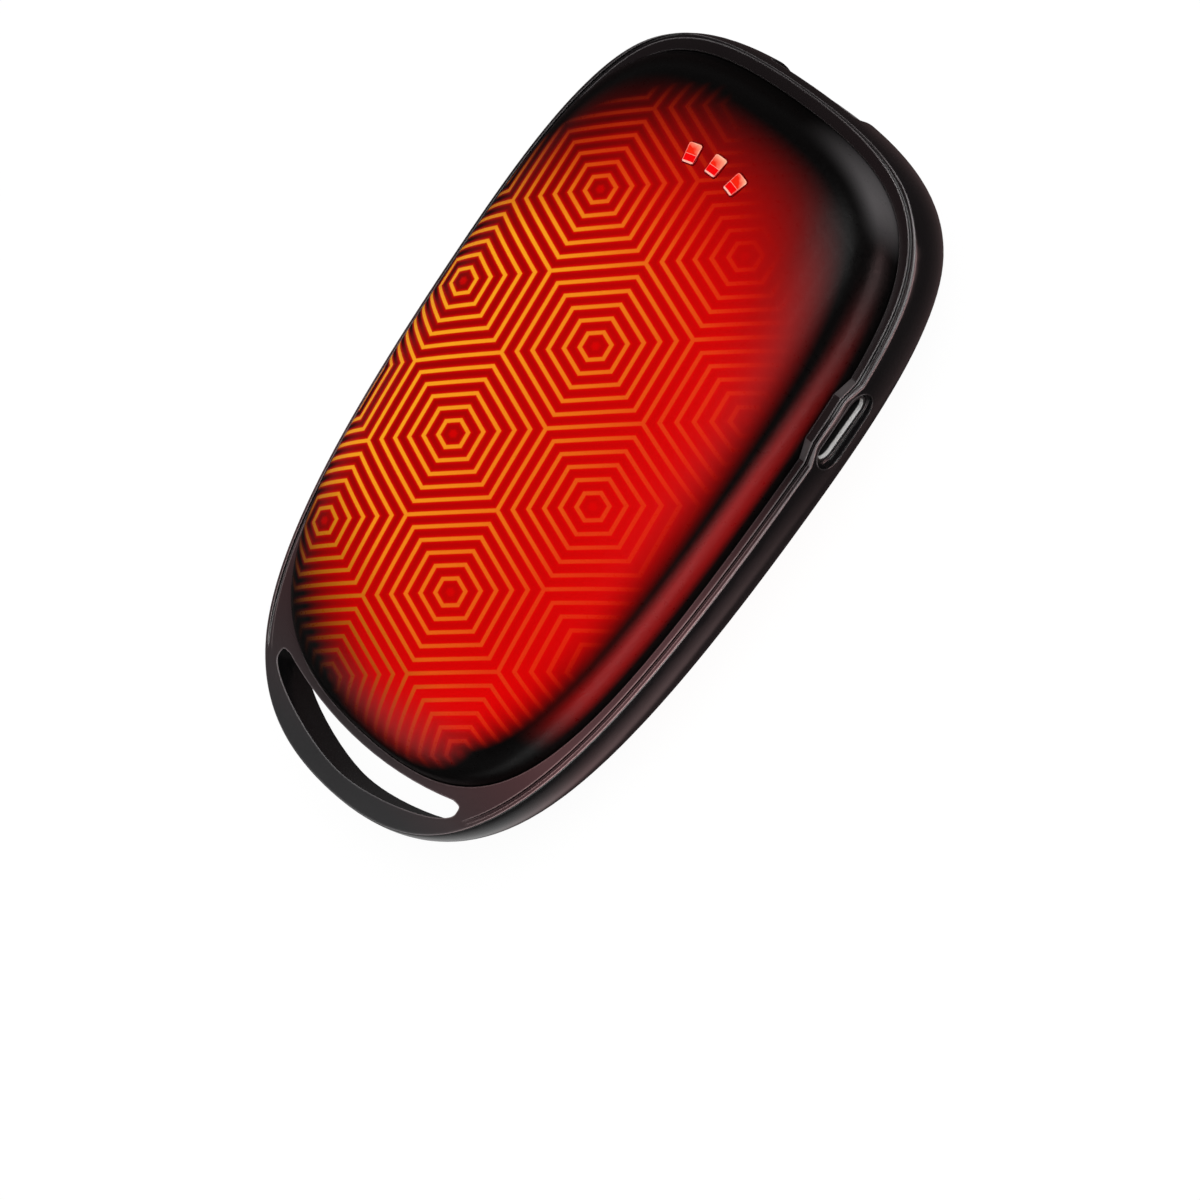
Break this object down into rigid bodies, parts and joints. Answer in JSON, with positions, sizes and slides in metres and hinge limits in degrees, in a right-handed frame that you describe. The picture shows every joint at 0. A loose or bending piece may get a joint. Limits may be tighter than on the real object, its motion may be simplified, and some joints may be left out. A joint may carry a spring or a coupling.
{
  "type": "rechargeable hand warmer",
  "caption": "Palm-sized egg-shaped hand warmer: domed heated shells on a flared band with a lanyard slot, a power button and sockets at the side and the head.",
  "frame": {"origin": "on the floor under the middle of the body's box, which lies on its back crown", "axes": "+Y to the head with the output socket, +X to the side with the charging socket, +Z out of the front"},
  "size_m": [0.0566, 0.102, 0.025],
  "materials": {
    "printed_shell": "satin, printed in black, red and orange",
    "band": "satin gloss black",
    "button": "satin gloss black",
    "lens": "clear red",
    "socket_metal": "bright nickel plate",
    "socket_insert": "moulded black",
    "board": "green solder mask",
    "screw": "zinc plated",
    "led": "clear",
    "switch": "moulded black",
    "plunger": "moulded white",
    "chip": "moulded black",
    "coil": "ferrite grey",
    "capacitor": "ceramic tan",
    "pouch": "laminated foil",
    "tab": "nickel strip",
    "spreader": "rolled",
    "film": "amber film",
    "foam": "closed-cell foam",
    "bead": "epoxy",
    "lead": "insulated wire"
  },
  "bodies": {
    "casing": {"front_shell": "printed_shell", "back_shell": "printed_shell", "mid_frame": "band", "light_guide": "lens", "usb_c_shell": "socket_metal", "usb_a_shell": "socket_metal", "usb_c_tongue": "socket_insert", "usb_a_tongue": "socket_insert", "main_board": "board", "board_screws": "screw", "indicator_leds": "led", "switch_body": "switch", "control_chip": "chip", "boost_inductor": "coil", "capacitors": "capacitor", "upper_cell": "pouch", "lower_cell": "pouch", "cell_tabs": "tab", "front_heat_spreader": "spreader", "back_heat_spreader": "spreader", "front_heater_film": "film", "back_heater_film": "film", "front_insulation_pad": "foam", "back_insulation_pad": "foam", "front_thermistor": "bead", "back_thermistor": "bead", "front_heater_leads": "lead", "back_heater_leads": "lead"},
    "button": {"power_button": "button"},
    "plunger": {"switch_plunger": "plunger"}
  },
  "joints": [
    {"name": "button_press", "type": "slide", "parent": "casing", "child": "button", "axis": [1, 0, 0], "range_m": [0, 0.0005], "stiffness_N_per_m": 400, "springref_m": -0.003},
    {"name": "plunger_press", "type": "slide", "parent": "casing", "child": "plunger", "axis": [1, 0, 0], "range_m": [0, 0.0005]}
  ],
  "couplings": [
    {"joint": "plunger_press", "follows": "button_press", "ratio": 1}
  ]
}
